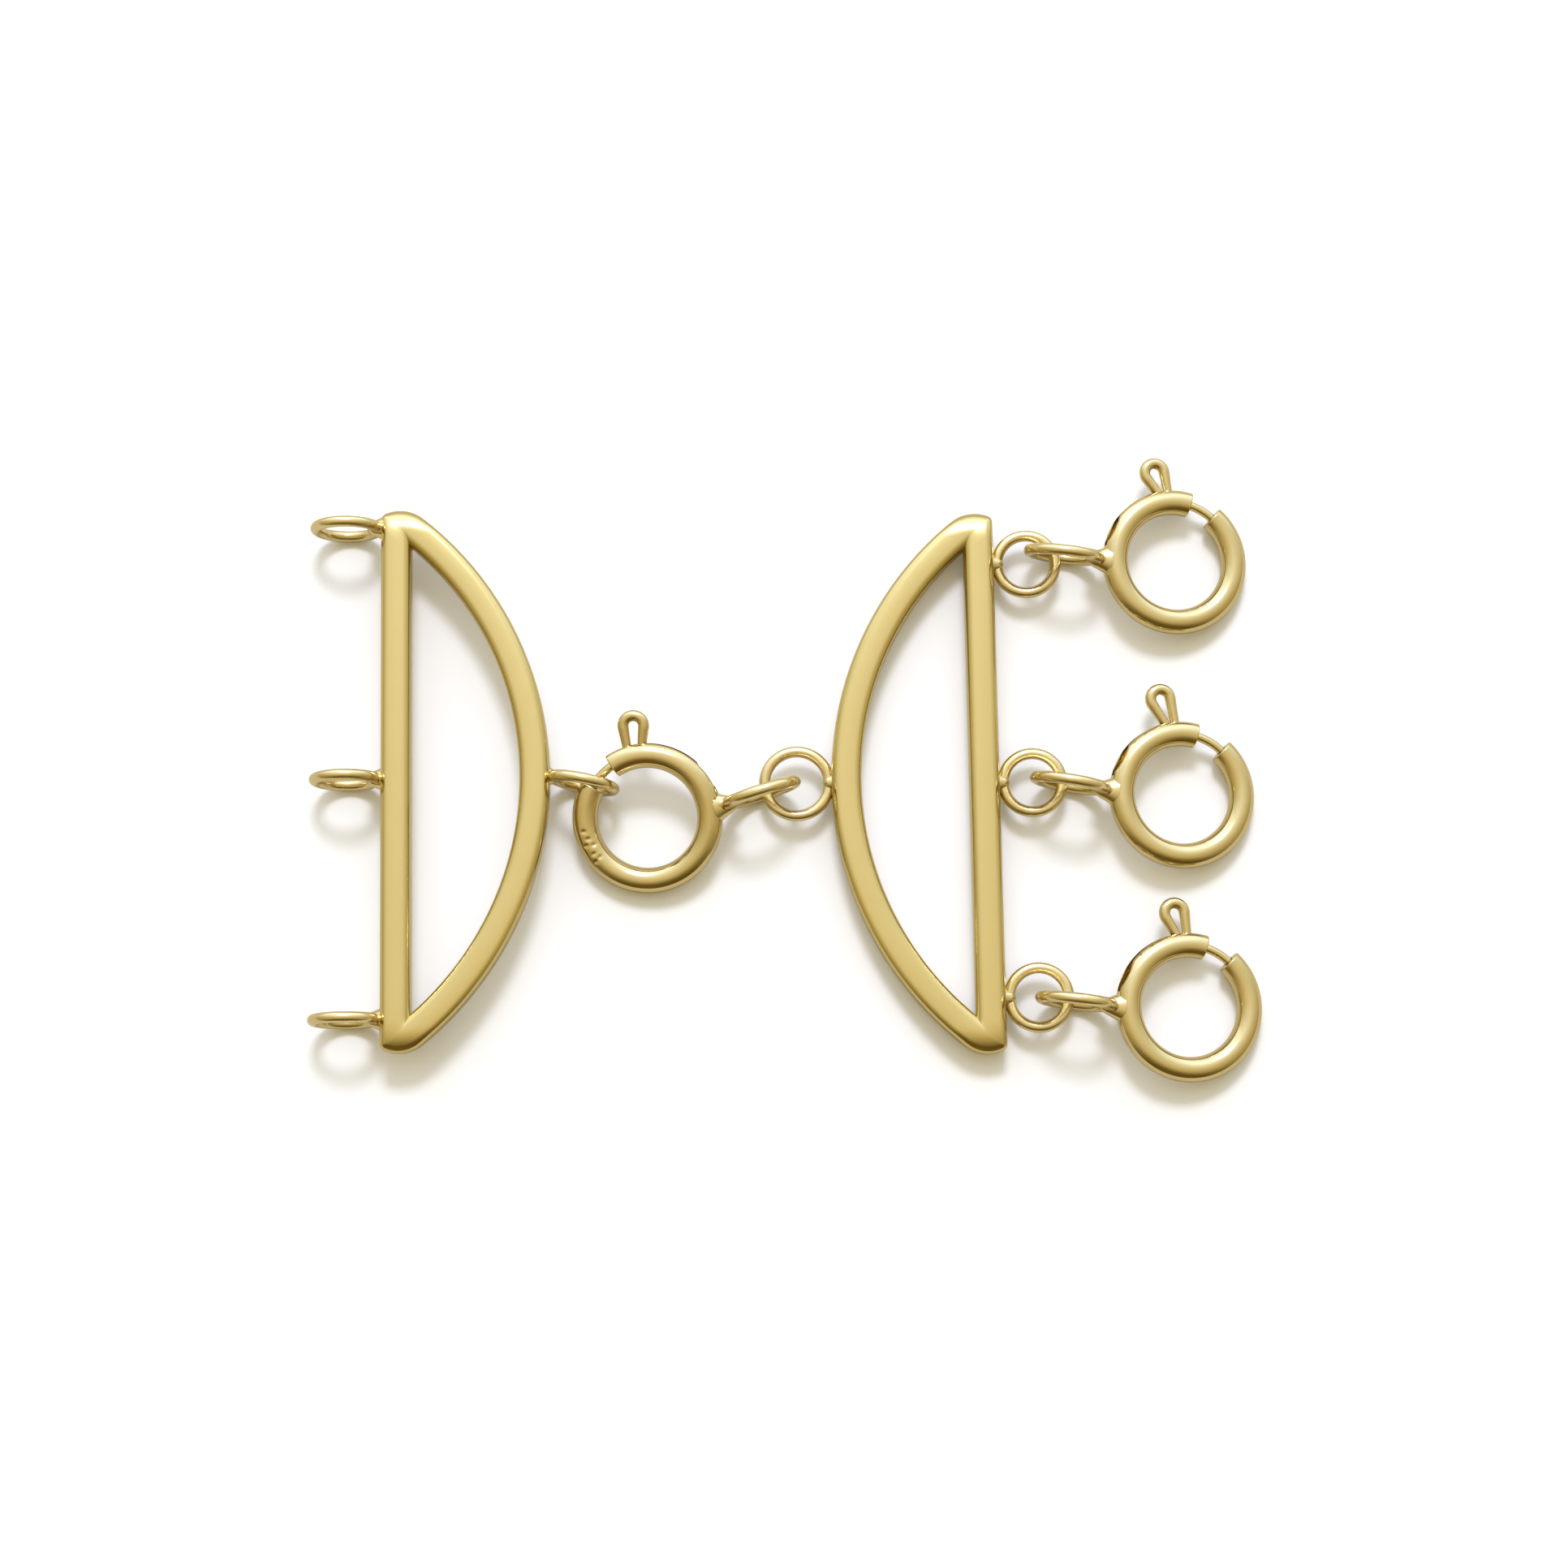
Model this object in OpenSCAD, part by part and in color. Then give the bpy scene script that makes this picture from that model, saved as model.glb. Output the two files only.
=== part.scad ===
// Layering clasp: two D-shaped frames joined by a bolt ring, with three more bolt rings to
// fasten chains to. It lies flat on a surface, eyes and end rings standing on it.
// X runs from the left frame to the right-hand bolt rings, Y up along the bars, Z up from the surface.

/* [Frames] */
// Length of a frame, corner to corner along its bar
frame_h = 22.7; // [22.4:0.05:23]
// Width of a frame, from the outside of the bar to the top of the arc
frame_w = 6.96; // [6.9:0.02:7.1]
// Radius of the shoulders, where the arc bends over to meet the bar
shoulder_r = 1.5; // [1.4:0.02:1.6]
// Width of the frame's wire, seen from above
wire_w = 1.24; // [1.16:0.02:1.3]
// Height of the frame's wire
wire_h = 1.2; // [1.1:0.02:1.3]
// Rounding of the wire's four edges, and of the corners where the bar ends
wire_round = 0.3; // [0.24:0.02:0.4]
// Counter-clockwise turn of both frames as they lie, degrees
frame_turn = 1.0; // [0:0.1:2]

/* [Eyes] */
// Wire of the soldered eyes
eye_wire = 0.46; // [0.4:0.02:0.5]
// Outer diameter of the upright eyes on the left bar
left_eye_od = 3.06; // [2.96:0.02:3.06]
// Outer diameter of the upright eye on the left arc
left_arc_eye_od = 3.06; // [3:0.02:3.06]
// Outer diameter of the flat eyes on the right bar
right_eye_od = 2.9; // [2.8:0.02:3]
// Outer diameter of the flat eye on the right arc
right_arc_eye_od = 3.14; // [3:0.02:3.2]
// How far an eye or end ring sinks into what it is soldered to
solder_in = 0.07; // [0.04:0.01:0.1]

/* [Bolt rings] */
// Outer diameter of the three right-hand bolt rings
ring_od = 6.16; // [6.1:0.01:6.2]
// Size of the centre bolt ring, compared with the others
centre_scale = 1.014; // [1:0.002:1.02]
// Outer diameter of the tube
tube_od = 1.04; // [1:0.01:1.08]
// Bore of the tube, where the latch slides
bore_d = 0.46; // [0.44:0.01:0.5]
// Height of the slot that the trigger slides in
slot_h = 0.44; // [0.42:0.01:0.5]
// Outer diameter of the end ring
end_ring_od = 3.44; // [3.36:0.02:3.5]
// Wire of the end ring
end_ring_wire = 0.48; // [0.44:0.02:0.5]

/* [Latches] */
// Wire of the latch that closes the gap
latch_d = 0.36; // [0.36:0.01:0.38]
// Wire of the trigger loop
trigger_wire = 0.46; // [0.4:0.01:0.47]
// Wire of the trigger's legs where they meet the latch
trigger_foot = 0.32; // [0.3:0.01:0.33]
// Width of the trigger loop
trigger_w = 1.3; // [1.25:0.01:1.35]

/* [Hidden] */

gold = "#e0c47c";
bright_gold = "#ecd692";
$fn = 64;

// Where the frames lie: the outer edge of the bar at its middle, and the height of the wire's middle
left_pos = [-16.63, -0.06, 1.53];
right_pos = [8.93, 0.0, 0.92];
// Places of the eyes along each bar, and the turn of the left arc's eye
left_eye_y = [10.65, 0.0, -9.95];
right_eye_y = [9.17, -0.12, -9.06];
left_arc_eye_turn = -12;
arc_eye_x = 6.9;    // distance of the arc's eye from the outside of the bar
left_eye_lean = 0.5;  // lean of the left bar's eyes from upright, degrees

// Moves the whole clasp so that the middle of its outline is at the origin
layout_shift = [0.055, -0.54, 0];

shoulder_x = 0.75;  // distance of a shoulder's middle from the outside of the bar
shoulder_y = frame_h / 2 - shoulder_r;
// Angle on the shoulder where the bar's corner starts, and the height of that corner's middle
corner_at = acos((wire_round - shoulder_x) / (shoulder_r - wire_round));
corner_y = shoulder_y + (shoulder_r - wire_round) * sin(corner_at);
// Middle of the arc that meets both shoulders smoothly, and the angle on it where they start
arc_top_x = frame_w - shoulder_r;
arc_centre_x = (arc_top_x ^ 2 - shoulder_x ^ 2 - shoulder_y ^ 2) / (2 * (arc_top_x - shoulder_x));
arc_r = frame_w - arc_centre_x;
arc_end = atan2(shoulder_y, shoulder_x - arc_centre_x);
cap_over = 0.01;  // how much a corner stands proud of the bar, and a shoulder of the corner
cap_turn = 4;     // how far a shoulder reaches over its neighbours, degrees
hub_r = 0.05;     // hole in the middle of a shoulder, hidden inside the bar

tube_r = tube_od / 2;
ring_r = ring_od / 2 - tube_r;
end_seat_x = ring_od / 2 - solder_in;
end_ring_x = end_seat_x + end_ring_od / 2;
latch_in = 4;      // degrees that the latch reaches into the far side of the gap
latch_tail = 12;   // degrees of latch beyond the trigger
pocket = 3;        // degrees of bore beyond the latch's tip
cut_over = 1;      // degrees that a cut runs out into the gap
slot_end = 8;      // angle where slot and bore end, short of the end ring
notch_at = 23;     // middle of the notch in one lip of the slot, where the trigger was put in
notch_cut = 0.19;  // depth of the notch
notch_r = 2.8;     // radius of the notch
dent_r = 0.09;     // radius of a punched dent
dent_cut = 0.03;   // depth of a punched dent
dent_span = 0.4;   // length of the punch
gap_slope = 2;     // slope of the trigger's leg on the side of the gap
leg_over = 0.05;   // how far a leg reaches into the loop
leg_step = 0.01;   // how much thinner the legs are there

// Beads of solder: radius where they start and end, how far they are sunk, and how far they reach
BEAD_BASE = 0;
BEAD_TIP = 1;
BEAD_SUNK = 2;
BEAD_REACH = 3;
small_bead = [0.38, 0.27, 0.1, 0.2];
big_bead = [0.45, 0.31, 0.1, 0.45];
ring_bead = [0.44, 0.3, 0.3, 0.34];

// A bolt ring at rest on the surface leans on its end ring at one side and on its tube at the other
rest_raise = asin((end_ring_od / 2 - tube_r) / (ring_r + end_ring_x));
rest_z = tube_r + ring_r * sin(rest_raise);

// The four bolt rings. Angles along the tube are counted from the joint with the end ring
RING_POS = 0;      // centre of the ring
RING_TURN = 1;     // direction of its end ring, seen from above
RING_RAISE = 2;    // slope of the ring up towards its end ring
RING_DROOP = 3;    // slope of the ring to its own right, looking towards the end ring
RING_FLIP = 4;     // true when the other face is up, so that the trigger is on the other side
RING_TRIGGER = 5;  // angle of the trigger, its height above the tube, and the slope of its other leg
RING_GAP = 6;      // angles where the gap starts and ends
RING_SCALE = 7;    // size compared with a right-hand ring
RING_DENTS = 8;    // angles of the plain dents punched across the top of the tube
RING_END = 9;      // where the end ring is soldered, sideways, and its turn and lean there
rings = [
    [[-5.64, -1.62, 1.2], 12.5, 6.7, 12.3, false, [85, 1.36, 14], [110.5, 136.5], centre_scale,
        [178.5, 186, 192, 200.5, 206], [-0.24, 5, -7]],
    [[16.38, 9.28, rest_z], 177.2, rest_raise, 0, true, [75.4, 1.45, 26], [102.5, 127.2], 1, [],
        [-0.17, 3, -8]],
    [[16.49, -0.61, rest_z], 174.5, rest_raise, 0, true, [72.5, 1.65, 22], [99, 126.8], 1, [],
        [-0.2, 3.5, -5]],
    [[16.61, -9.44, rest_z], 176.9, rest_raise, 0, true, [78.8, 1.48, 24], [103, 128.8], 1, [],
        [-0.2, 3.5, -2]],
];

// Rounded section of the frames' wire, from x = 0 to wire_w, level with z = 0
module wire_section() {
    flat_w = wire_w - 2 * wire_round;
    flat_h = wire_h - 2 * wire_round;
    translate([0, -flat_h / 2]) square([wire_w, flat_h]);
    translate([wire_round, -wire_h / 2]) square([flat_w, wire_h]);
    for (x = [wire_round, wire_w - wire_round], y = [-flat_h / 2, flat_h / 2])
        translate([x, y]) circle(r = wire_round);
}

// Corner where the bar ends, a hair larger than it
module frame_corner() {
    r = wire_round + cap_over;
    up = wire_h / 2 - wire_round;
    translate([wire_round, corner_y, 0]) {
        cylinder(h = 2 * up, r = r, center = true);
        for (z = [-up, up])
            translate([0, 0, z]) sphere(r = r);
    }
}

// Shoulder from the corner to the arc, a hair larger than both
module frame_shoulder() {
    over = 2 * cap_over;
    middle = shoulder_r - wire_round;
    up = wire_h / 2 - wire_round;
    translate([shoulder_x, shoulder_y, 0]) rotate([0, 0, arc_end - cap_turn])
        rotate_extrude(angle = corner_at - arc_end + 2 * cap_turn) {
            translate([hub_r, -up - wire_round - over]) square([middle - hub_r, 2 * (up + wire_round + over)]);
            translate([hub_r, -up]) square([shoulder_r + over - hub_r, 2 * up]);
            for (y = [-up, up])
                translate([middle, y]) circle(r = wire_round + over);
        }
}

// D-shaped frame: the outside of the bar is at x = 0 and the arc bulges to +X
module frame() {
    rotate([90, 0, 0]) linear_extrude(2 * corner_y, center = true) wire_section();
    translate([arc_centre_x, 0, 0]) rotate([0, 0, -arc_end])
        rotate_extrude(angle = 2 * arc_end) translate([arc_r - wire_w, 0]) wire_section();
    for (end = [0, 1])
        mirror([0, end, 0]) {
            frame_corner();
            frame_shoulder();
        }
}

// Wire ring around the Z axis
module wire_ring(outer_d, wire_d) {
    rotate_extrude() translate([(outer_d - wire_d) / 2, 0]) circle(d = wire_d);
}

// Eye soldered to a face at x = 0, turned to stand at an angle to the surface, with its bead of solder
module eye(outer_d, stand, bead = small_bead) {
    translate([outer_d / 2 - solder_in, 0, 0]) rotate([stand, 0, 0])
        wire_ring(outer_d, eye_wire);
    solder_bead(bead);
}

// Bead of solder on a face at x = 0
module solder_bead(bead) {
    translate([-bead[BEAD_SUNK], 0, 0]) rotate([0, 90, 0])
        cylinder(h = bead[BEAD_SUNK] + bead[BEAD_REACH], r1 = bead[BEAD_BASE], r2 = bead[BEAD_TIP]);
}

module left_frame() {
    color(gold) translate(layout_shift + left_pos) rotate([0, 0, frame_turn]) {
        frame();
        for (y = left_eye_y)
            translate([0, y, 0]) rotate([0, 0, 180])
                eye(left_eye_od, 90 + left_eye_lean, big_bead);
        translate([arc_eye_x, 0, 0]) rotate([0, 0, left_arc_eye_turn]) eye(left_arc_eye_od, 90);
    }
}

module right_frame() {
    color(gold) translate(layout_shift + right_pos) rotate([0, 0, frame_turn]) {
        mirror([1, 0, 0]) frame();
        for (y = right_eye_y)
            translate([0, y, 0]) eye(right_eye_od, 0);
        translate([-arc_eye_x, 0, 0]) rotate([0, 0, 180]) eye(right_arc_eye_od, 0);
    }
}

// Puts a bolt ring's piece where that ring lies
module place_ring(row) {
    flip = row[RING_FLIP] ? 180 : 0;
    translate(layout_shift + row[RING_POS])
        rotate([row[RING_DROOP] + flip, -row[RING_RAISE], row[RING_TURN]])
            scale(row[RING_SCALE]) children();
}

// Turns a section that lies in the tube from one angle to another
module along_tube(from, to) {
    rotate([0, 0, from]) rotate_extrude(angle = to - from) translate([ring_r, 0]) children();
}

// Housing of a bolt ring: the tube with its gap, bore and slot, and the end ring soldered to it
module bolt_ring(row) {
    gap = row[RING_GAP];
    color(bright_gold) place_ring(row) {
        difference() {
            union() {
                along_tube(gap[1], 360 + gap[0]) circle(d = tube_od);
                translate([ring_od / 2, row[RING_END][0], 0]) solder_bead(ring_bead);
            }
            along_tube(slot_end, gap[0] + cut_over) circle(d = bore_d);
            along_tube(slot_end, gap[0] + cut_over) translate([0, -slot_h / 2]) square([tube_od, slot_h]);
            along_tube(gap[1] - cut_over, gap[1] + latch_in + pocket) circle(d = bore_d);
            rotate([0, 0, notch_at]) translate([ring_od / 2 - notch_cut + notch_r, 0, -tube_od])
                cylinder(h = tube_od, r = notch_r);
            for (at = row[RING_DENTS])
                rotate([0, 0, at]) translate([ring_r - dent_span / 2, 0, tube_r - dent_cut + dent_r])
                    rotate([0, 90, 0]) cylinder(h = dent_span, r = dent_r);
        }
        end_ring(row[RING_END]);
    }
}

// End ring, standing on the tube where it is soldered
module end_ring(place) {
    translate([end_seat_x, place[0], 0]) rotate([place[2], 0, place[1]])
        translate([end_ring_od / 2, 0, 0]) rotate([90, 0, 0]) wire_ring(end_ring_od, end_ring_wire);
}

// Trigger loop, standing out along +X from the latch to a height above the tube
module trigger(height, back_slope) {
    loop_r = (trigger_w - trigger_wire) / 2;
    loop_x = ring_od / 2 + height - trigger_w / 2;
    reach = loop_x - ring_r;
    translate([loop_x, 0, 0]) rotate([0, 0, -90 - back_slope])
        rotate_extrude(angle = 180 + back_slope + gap_slope)
            translate([loop_r, 0]) circle(d = trigger_wire);
    for (leg = [[-1, back_slope], [1, gap_slope]]) {
        side = leg[0];
        slope = leg[1];
        run = reach - loop_r * sin(slope);
        translate([ring_r, side * (loop_r * cos(slope) - run * tan(slope)), 0])
            rotate([0, 90, side * slope])
                cylinder(h = run / cos(slope) + leg_over, d1 = trigger_foot, d2 = trigger_wire - leg_step);
    }
}

// Latch: the wire that closes the gap, with its trigger
module latch(row) {
    color(gold) place_ring(row) {
        along_tube(row[RING_TRIGGER][0] - latch_tail, row[RING_GAP][1] + latch_in) circle(d = latch_d);
        rotate([0, 0, row[RING_TRIGGER][0]]) trigger(row[RING_TRIGGER][1], row[RING_TRIGGER][2]);
    }
}

left_frame();
right_frame();
bolt_ring(rings[0]);  // bolt_ring_centre
bolt_ring(rings[1]);  // bolt_ring_top
bolt_ring(rings[2]);  // bolt_ring_middle
bolt_ring(rings[3]);  // bolt_ring_bottom
latch(rings[0]);  // latch_centre
latch(rings[1]);  // latch_top
latch(rings[2]);  // latch_middle
latch(rings[3]);  // latch_bottom
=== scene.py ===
"""Looks of a gold layering clasp: two D-shaped frames, their soldered eyes and four bolt rings.

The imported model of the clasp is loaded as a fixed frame, and every piece is made in the same place.
Sizes of the pieces are in millimetres, and meshes are handed to Blender in metres.
"""

import logging
import math
from collections.abc import Iterable
from dataclasses import dataclass, field
from enum import Enum

import bmesh
import bpy
from mathutils import Matrix, Vector


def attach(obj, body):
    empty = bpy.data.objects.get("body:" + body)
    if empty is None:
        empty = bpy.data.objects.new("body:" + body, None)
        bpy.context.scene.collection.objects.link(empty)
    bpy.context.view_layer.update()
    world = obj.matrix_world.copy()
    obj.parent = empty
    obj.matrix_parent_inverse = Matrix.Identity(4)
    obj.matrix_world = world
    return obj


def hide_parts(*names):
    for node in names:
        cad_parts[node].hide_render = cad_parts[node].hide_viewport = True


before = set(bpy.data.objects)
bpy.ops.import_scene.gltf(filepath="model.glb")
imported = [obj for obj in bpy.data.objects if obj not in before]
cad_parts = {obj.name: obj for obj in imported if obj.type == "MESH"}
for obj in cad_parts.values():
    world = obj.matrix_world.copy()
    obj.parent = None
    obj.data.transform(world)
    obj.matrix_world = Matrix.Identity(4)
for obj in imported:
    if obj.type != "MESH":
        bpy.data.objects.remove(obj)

LOG = logging.getLogger("layering_clasp")
MM = 0.001

# Moves the whole clasp so that the middle of its outline is at the origin
LAYOUT_SHIFT = Vector((0.055, -0.54, 0.0))

# Angle at which neighbouring faces stop being shaded as one smooth surface
CREASE = math.radians(38)

# Points closer than this are one point, and edges shorter than this are none, both in metres
SAME_POINT = 1e-8
NO_EDGE = 1e-9

# Sizes of the noises that vary a finish's colour and its gloss, and their layers of detail
COLOUR_NOISE = (1.6, 3.0)
GLOSS_NOISE = (0.5, 5.0)
MARK_DETAIL = 2.0

# How far the polishing marks are drawn out along the object's own Y axis
MARK_STRETCH = (1.0, 0.08, 1.0)
EVEN = (1.0, 1.0, 1.0)

# How eyes and end rings stand, in degrees from the surface
FLAT = 0.0
UPRIGHT = 90.0


class Body(Enum):
    """Bodies of the clasp that pieces ride on."""

    CLASP = "clasp"
    LATCH_CENTRE = "latch_centre_body"
    LATCH_TOP = "latch_top_body"
    LATCH_MIDDLE = "latch_middle_body"
    LATCH_BOTTOM = "latch_bottom_body"


class Slot(Enum):
    """Material slots of the clasp's record."""

    SATIN = "satin_gold"
    POLISHED = "polished_gold"


@dataclass(frozen=True)
class GoldFinish:
    """A finish of yellow gold: its colours, its gloss and the fine marks of polishing.

    Colours are linear. Sizes of the marks are in millimetres.
    """

    name: str
    slot: Slot
    colour: tuple[float, float, float]
    deep_colour: tuple[float, float, float]
    roughness: float
    roughness_spread: float
    edge_roughness: float
    ripple_size: float
    ripple_depth: float
    scratch_size: float
    scratch_depth: float

    def material(self) -> bpy.types.Material:
        """Makes the finish's material, or finds it if it was made before.

        Returns:
            The material, with all its nodes.
        """
        known = bpy.data.materials.get(self.name)
        if known is not None:
            return known
        made = bpy.data.materials.new(self.name)
        made.use_nodes = True
        tree = made.node_tree
        shader = tree.nodes["Principled BSDF"]
        shader.inputs["Metallic"].default_value = 1.0
        place = tree.nodes.new("ShaderNodeTexCoord")
        tree.links.new(self._colour(tree, place), shader.inputs["Base Color"])
        tree.links.new(self._roughness(tree, place), shader.inputs["Roughness"])
        tree.links.new(self._marks(tree, place), shader.inputs["Normal"])
        return made

    def _noise(self, tree: bpy.types.NodeTree, place: bpy.types.Node, size: float, detail: float,
               stretch: tuple[float, float, float] = EVEN) -> bpy.types.NodeSocket:
        """Adds a noise over the object's own coordinates.

        Args:
            tree: The material's nodes.
            place: The node that gives the object's coordinates.
            size: Size of the noise's features.
            detail: Number of finer layers of noise.
            stretch: How quickly the noise changes along each axis, compared with its size.

        Returns:
            The noise's value.
        """
        mapping = tree.nodes.new("ShaderNodeMapping")
        mapping.inputs["Scale"].default_value = stretch
        tree.links.new(place.outputs["Object"], mapping.inputs["Vector"])
        noise = tree.nodes.new("ShaderNodeTexNoise")
        noise.inputs["Scale"].default_value = 1.0 / (size * MM)
        noise.inputs["Detail"].default_value = detail
        tree.links.new(mapping.outputs["Vector"], noise.inputs["Vector"])
        return noise.outputs["Fac"]

    def _colour(self, tree: bpy.types.NodeTree, place: bpy.types.Node) -> bpy.types.NodeSocket:
        """Mixes the two colours of the gold by a broad noise.

        Args:
            tree: The material's nodes.
            place: The node that gives the object's coordinates.

        Returns:
            The mixed colour.
        """
        mix = tree.nodes.new("ShaderNodeMix")
        mix.data_type = "RGBA"
        mix.inputs["A"].default_value = (*self.deep_colour, 1.0)
        mix.inputs["B"].default_value = (*self.colour, 1.0)
        tree.links.new(self._noise(tree, place, *COLOUR_NOISE), mix.inputs["Factor"])
        return mix.outputs["Result"]

    def _roughness(self, tree: bpy.types.NodeTree, place: bpy.types.Node) -> bpy.types.NodeSocket:
        """Varies the gloss a little, and polishes the rounded edges that the mesh marks.

        Args:
            tree: The material's nodes.
            place: The node that gives the object's coordinates.

        Returns:
            The roughness.
        """
        spread = tree.nodes.new("ShaderNodeMapRange")
        spread.inputs["To Min"].default_value = self.roughness - self.roughness_spread
        spread.inputs["To Max"].default_value = self.roughness + self.roughness_spread
        tree.links.new(self._noise(tree, place, *GLOSS_NOISE), spread.inputs["Value"])
        edge = tree.nodes.new("ShaderNodeAttribute")
        edge.attribute_name = "edge"
        mix = tree.nodes.new("ShaderNodeMix")
        mix.inputs["B"].default_value = self.edge_roughness
        tree.links.new(edge.outputs["Fac"], mix.inputs["Factor"])
        tree.links.new(spread.outputs["Result"], mix.inputs["A"])
        return mix.outputs["Result"]

    def _marks(self, tree: bpy.types.NodeTree, place: bpy.types.Node) -> bpy.types.NodeSocket:
        """Adds the soft ripples of hand finishing and the hair-fine marks of polishing.

        Args:
            tree: The material's nodes.
            place: The node that gives the object's coordinates.

        Returns:
            The bumped normal.
        """
        normal: bpy.types.NodeSocket | None = None
        for size, depth, stretch in ((self.ripple_size, self.ripple_depth, EVEN),
                                     (self.scratch_size, self.scratch_depth, MARK_STRETCH)):
            bump = tree.nodes.new("ShaderNodeBump")
            bump.inputs["Strength"].default_value = 1.0
            bump.inputs["Distance"].default_value = depth * MM
            tree.links.new(self._noise(tree, place, size, MARK_DETAIL, stretch), bump.inputs["Height"])
            if normal is not None:
                tree.links.new(normal, bump.inputs["Normal"])
            normal = bump.outputs["Normal"]
        return normal


SATIN_GOLD = GoldFinish(
    "satin_gold_finish", Slot.SATIN, colour=(0.66, 0.532, 0.236), deep_colour=(0.636, 0.508, 0.216),
    roughness=0.2, roughness_spread=0.02, edge_roughness=0.15,
    ripple_size=0.9, ripple_depth=0.0008, scratch_size=0.05, scratch_depth=0.0002)
POLISHED_GOLD = GoldFinish(
    "polished_gold_finish", Slot.POLISHED, colour=(0.70, 0.575, 0.305), deep_colour=(0.66, 0.535, 0.265),
    roughness=0.12, roughness_spread=0.03, edge_roughness=0.12,
    ripple_size=0.6, ripple_depth=0.003, scratch_size=0.05, scratch_depth=0.0001)
# Gold of the eyes and end rings: its rougher, rippled finish is real, and its colour is set lighter than the
# polished gold's as painted highlight on these wires
WORKED_HIGHLIT_GOLD = GoldFinish(
    "worked_highlit_gold_finish", Slot.POLISHED, colour=(0.82, 0.69, 0.4), deep_colour=(0.62, 0.49, 0.22),
    roughness=0.19, roughness_spread=0.04, edge_roughness=0.19,
    ripple_size=0.34, ripple_depth=0.007, scratch_size=0.07, scratch_depth=0.0006)


class Shape:
    """Points and faces of one piece, gathered loop by loop in millimetres."""

    def __init__(self) -> None:
        """Starts an empty shape."""
        self.points: list[Vector] = []
        self.edge_marks: list[float] = []
        self.faces: list[tuple[int, ...]] = []

    def loop(self, points: list[Vector], marks: list[float] | None = None) -> list[int]:
        """Adds points.

        Args:
            points: Where the points are.
            marks: How much each point belongs to a polished edge, from 0 to 1. All do if it is left out.

        Returns:
            The numbers of the points.
        """
        first = len(self.points)
        self.points.extend(points)
        self.edge_marks.extend(marks if marks is not None else [1.0] * len(points))
        return list(range(first, len(self.points)))

    def bridge(self, one: list[int], other: list[int], closed: bool = True) -> None:
        """Joins two loops with the same number of points by a strip of four-sided faces.

        Args:
            one: The first loop.
            other: The second loop.
            closed: Whether the strip also joins the last points to the first.
        """
        count = len(one)
        for at in range(count if closed else count - 1):
            after = (at + 1) % count
            self.faces.append((one[at], one[after], other[after], other[at]))

    def cap(self, ring: list[int]) -> None:
        """Closes a loop with three-sided faces around its middle.

        Args:
            ring: The loop.
        """
        middle = sum((self.points[at] for at in ring), Vector()) / len(ring)
        hub = self.loop([middle])[0]
        for at, number in enumerate(ring):
            self.faces.append((number, ring[(at + 1) % len(ring)], hub))

    def tube(self, rings: list[list[Vector]], closed: bool = False) -> None:
        """Adds a surface through rings of points.

        Args:
            rings: The rings, in order, each with the same number of points.
            closed: Whether the last ring joins the first. Otherwise both ends are capped.
        """
        loops = [self.loop(ring) for ring in rings]
        for one, other in zip(loops, loops[1:]):
            self.bridge(one, other)
        if closed:
            self.bridge(loops[-1], loops[0])
        else:
            self.cap(loops[0])
            self.cap(loops[-1])

    def piece(self, name: str, place: Matrix) -> bpy.types.Object:
        """Makes the Blender object.

        Args:
            name: The piece's name.
            place: Where the piece lies, in millimetres.

        Returns:
            The object, with its mesh in metres and smooth shading between creases.
        """
        mesh = bpy.data.meshes.new(name)
        mesh.from_pydata([(place @ point) * MM for point in self.points], [], self.faces)
        mark = mesh.attributes.new("edge", "FLOAT", "POINT")
        mark.data.foreach_set("value", self.edge_marks)
        work = bmesh.new()
        work.from_mesh(mesh)
        bmesh.ops.remove_doubles(work, verts=work.verts, dist=SAME_POINT)
        bmesh.ops.dissolve_degenerate(work, edges=work.edges, dist=NO_EDGE)
        bmesh.ops.recalc_face_normals(work, faces=work.faces)
        work.to_mesh(mesh)
        work.free()
        mesh.polygons.foreach_set("use_smooth", [True] * len(mesh.polygons))
        mesh.set_sharp_from_angle(angle=CREASE)
        made = bpy.data.objects.new(name, mesh)
        bpy.context.scene.collection.objects.link(made)
        return made


def circle(radius: float, count: int) -> list[tuple[float, float]]:
    """Gives points evenly spaced around a circle.

    Args:
        radius: The circle's radius.
        count: How many points it has.

    Returns:
        The points' two coordinates.
    """
    slants = [2 * math.pi * at / count for at in range(count)]
    return [(radius * math.cos(slant), radius * math.sin(slant)) for slant in slants]


def steps(start: float, end: float, count: int) -> list[float]:
    """Gives evenly spaced values, both ends included.

    Args:
        start: The first value.
        end: The last value.
        count: How many stretches lie between them.

    Returns:
        The values.
    """
    return [start + (end - start) * at / count for at in range(count + 1)]


def turn(degrees: float, axis: str) -> Matrix:
    """Gives a turn around an axis.

    Args:
        degrees: The angle.
        axis: X, Y or Z.

    Returns:
        The turn as a matrix.
    """
    return Matrix.Rotation(math.radians(degrees), 4, axis)


def dress(piece: bpy.types.Object, finish: GoldFinish, body: Body, *nodes: str) -> bpy.types.Object:
    """Gives a piece its finish and its body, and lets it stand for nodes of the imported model.

    Args:
        piece: The piece.
        finish: Its finish.
        body: The body it rides on.
        nodes: The nodes it stands for.

    Returns:
        The same piece.
    """
    piece.data.materials.append(finish.material())
    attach(piece, body.value)
    if nodes:
        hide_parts(*nodes)
    LOG.info("%s: %d faces", piece.name, len(piece.data.polygons))
    return piece


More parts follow.
